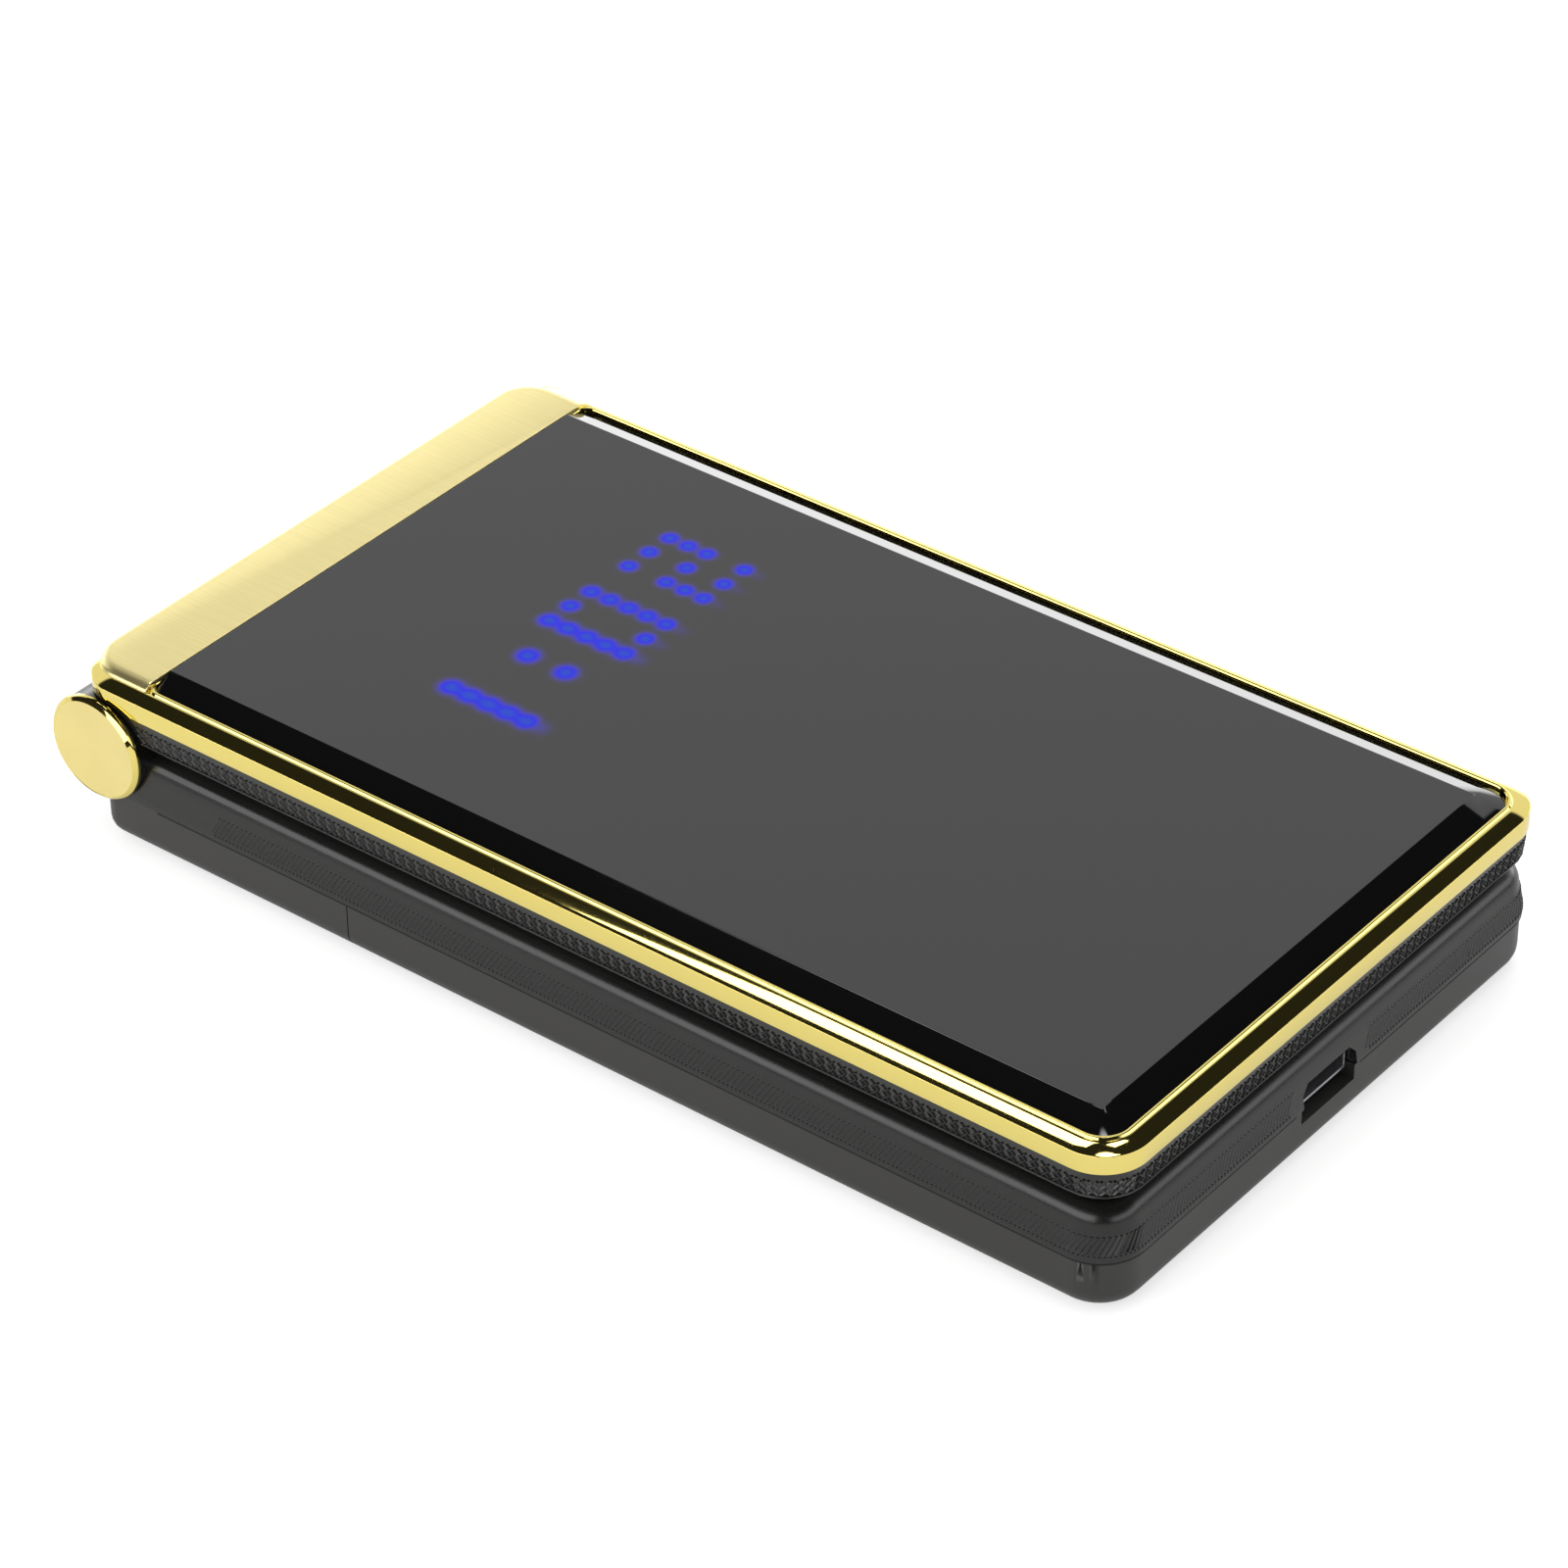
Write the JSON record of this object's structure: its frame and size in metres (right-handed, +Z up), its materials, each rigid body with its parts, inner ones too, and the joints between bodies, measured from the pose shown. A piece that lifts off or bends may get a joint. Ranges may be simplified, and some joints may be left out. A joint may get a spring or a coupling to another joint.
{
  "type": "flip phone",
  "caption": "Clamshell mobile phone with a gold-framed glass lid over a lamp clock, a keypad with pressing keys, a friction hinge and a sliding battery cover.",
  "frame": {"origin": "on the flat back face, under the middle of the lid's outline", "axes": "+X across the width, +Y along the length towards the hinge, +Z up out of the lid's glass"},
  "size_m": [0.062, 0.1102, 0.0167],
  "materials": {
    "gold": "polished",
    "cover_glass": "polished",
    "circuit_board": "satin",
    "lamps": "frosted",
    "soft_black": "matte",
    "black_casing": "satin",
    "display_metal": "satin",
    "steel": "satin",
    "ribbon": "satin",
    "battery_wrap": "satin",
    "dark_plastic": "satin",
    "antenna_plastic": "satin",
    "gold_keys": "satin",
    "call_green": "satin",
    "end_red": "satin",
    "key_plastic": "satin"
  },
  "bodies": {
    "base": {"front_casing": "black_casing", "rear_casing": "black_casing", "battery": "battery_wrap", "main_board": "circuit_board", "shield_can": "steel", "dome_sheet": "steel", "usb_socket": "steel", "microphone": "steel", "loudspeaker": "dark_plastic", "camera_module": "dark_plastic", "camera_window": "cover_glass", "sim_holder": "steel", "vibration_motor": "steel", "antenna": "antenna_plastic", "battery_contacts": "dark_plastic", "hinge_cap_near": "gold", "hinge_cap_far": "gold", "hinge_shaft": "steel", "hinge_pin": "steel", "base_screws": "steel"},
    "lid": {"lid_bezel": "gold", "lid_glass": "cover_glass", "clock_board": "circuit_board", "clock_leds": "lamps", "board_tape": "soft_black", "lid_casing": "black_casing", "display_window": "cover_glass", "lcd_module": "display_metal", "earpiece": "steel", "earpiece_mesh": "steel", "lid_bumpers": "soft_black", "lid_magnet": "steel", "lid_screws": "steel", "screw_plugs": "soft_black", "hinge_can": "steel", "hinge_spring": "steel", "lid_flex": "ribbon"},
    "cover": {"battery_cover": "black_casing"},
    "key_1_body": {"key_1": "key_plastic"},
    "key_2_body": {"key_2": "key_plastic"},
    "key_3_body": {"key_3": "key_plastic"},
    "key_4_body": {"key_4": "key_plastic"},
    "key_5_body": {"key_5": "key_plastic"},
    "key_6_body": {"key_6": "key_plastic"},
    "key_7_body": {"key_7": "key_plastic"},
    "key_8_body": {"key_8": "key_plastic"},
    "key_9_body": {"key_9": "key_plastic"},
    "key_star_body": {"key_star": "key_plastic"},
    "key_0_body": {"key_0": "key_plastic"},
    "key_hash_body": {"key_hash": "key_plastic"},
    "soft_left_body": {"soft_left": "key_plastic"},
    "soft_right_body": {"soft_right": "key_plastic"},
    "call_key_body": {"call_key": "call_green"},
    "end_key_body": {"end_key": "end_red"},
    "nav_ring_body": {"nav_ring": "gold_keys"},
    "ok_key_body": {"ok_key": "key_plastic"}
  },
  "joints": [
    {"name": "lid_hinge", "type": "hinge", "parent": "base", "child": "lid", "pos_m": [0, 0.0513, 0.0092], "axis": [-1, 0, 0], "range_deg": [0, 135]},
    {"name": "cover_slide", "type": "slide", "parent": "base", "child": "cover", "axis": [0, -1, 0], "range_m": [0, 0.08]},
    {"name": "key_1_press", "type": "slide", "parent": "base", "child": "key_1_body", "axis": [0, 0, -1], "range_m": [0, 0.0003], "stiffness_N_per_m": 300, "springref_m": -0.0005},
    {"name": "key_2_press", "type": "slide", "parent": "base", "child": "key_2_body", "axis": [0, 0, -1], "range_m": [0, 0.0003], "stiffness_N_per_m": 300, "springref_m": -0.0005},
    {"name": "key_3_press", "type": "slide", "parent": "base", "child": "key_3_body", "axis": [0, 0, -1], "range_m": [0, 0.0003], "stiffness_N_per_m": 300, "springref_m": -0.0005},
    {"name": "key_4_press", "type": "slide", "parent": "base", "child": "key_4_body", "axis": [0, 0, -1], "range_m": [0, 0.0003], "stiffness_N_per_m": 300, "springref_m": -0.0005},
    {"name": "key_5_press", "type": "slide", "parent": "base", "child": "key_5_body", "axis": [0, 0, -1], "range_m": [0, 0.0003], "stiffness_N_per_m": 300, "springref_m": -0.0005},
    {"name": "key_6_press", "type": "slide", "parent": "base", "child": "key_6_body", "axis": [0, 0, -1], "range_m": [0, 0.0003], "stiffness_N_per_m": 300, "springref_m": -0.0005},
    {"name": "key_7_press", "type": "slide", "parent": "base", "child": "key_7_body", "axis": [0, 0, -1], "range_m": [0, 0.0003], "stiffness_N_per_m": 300, "springref_m": -0.0005},
    {"name": "key_8_press", "type": "slide", "parent": "base", "child": "key_8_body", "axis": [0, 0, -1], "range_m": [0, 0.0003], "stiffness_N_per_m": 300, "springref_m": -0.0005},
    {"name": "key_9_press", "type": "slide", "parent": "base", "child": "key_9_body", "axis": [0, 0, -1], "range_m": [0, 0.0003], "stiffness_N_per_m": 300, "springref_m": -0.0005},
    {"name": "key_star_press", "type": "slide", "parent": "base", "child": "key_star_body", "axis": [0, 0, -1], "range_m": [0, 0.0003], "stiffness_N_per_m": 300, "springref_m": -0.0005},
    {"name": "key_0_press", "type": "slide", "parent": "base", "child": "key_0_body", "axis": [0, 0, -1], "range_m": [0, 0.0003], "stiffness_N_per_m": 300, "springref_m": -0.0005},
    {"name": "key_hash_press", "type": "slide", "parent": "base", "child": "key_hash_body", "axis": [0, 0, -1], "range_m": [0, 0.0003], "stiffness_N_per_m": 300, "springref_m": -0.0005},
    {"name": "soft_left_press", "type": "slide", "parent": "base", "child": "soft_left_body", "axis": [0, 0, -1], "range_m": [0, 0.0003], "stiffness_N_per_m": 300, "springref_m": -0.0005},
    {"name": "soft_right_press", "type": "slide", "parent": "base", "child": "soft_right_body", "axis": [0, 0, -1], "range_m": [0, 0.0003], "stiffness_N_per_m": 300, "springref_m": -0.0005},
    {"name": "call_key_press", "type": "slide", "parent": "base", "child": "call_key_body", "axis": [0, 0, -1], "range_m": [0, 0.0003], "stiffness_N_per_m": 300, "springref_m": -0.0005},
    {"name": "end_key_press", "type": "slide", "parent": "base", "child": "end_key_body", "axis": [0, 0, -1], "range_m": [0, 0.0003], "stiffness_N_per_m": 300, "springref_m": -0.0005},
    {"name": "nav_ring_press", "type": "slide", "parent": "base", "child": "nav_ring_body", "axis": [0, 0, -1], "range_m": [0, 0.0003], "stiffness_N_per_m": 300, "springref_m": -0.0005},
    {"name": "ok_key_press", "type": "slide", "parent": "base", "child": "ok_key_body", "axis": [0, 0, -1], "range_m": [0, 0.0003], "stiffness_N_per_m": 300, "springref_m": -0.0005}
  ]
}
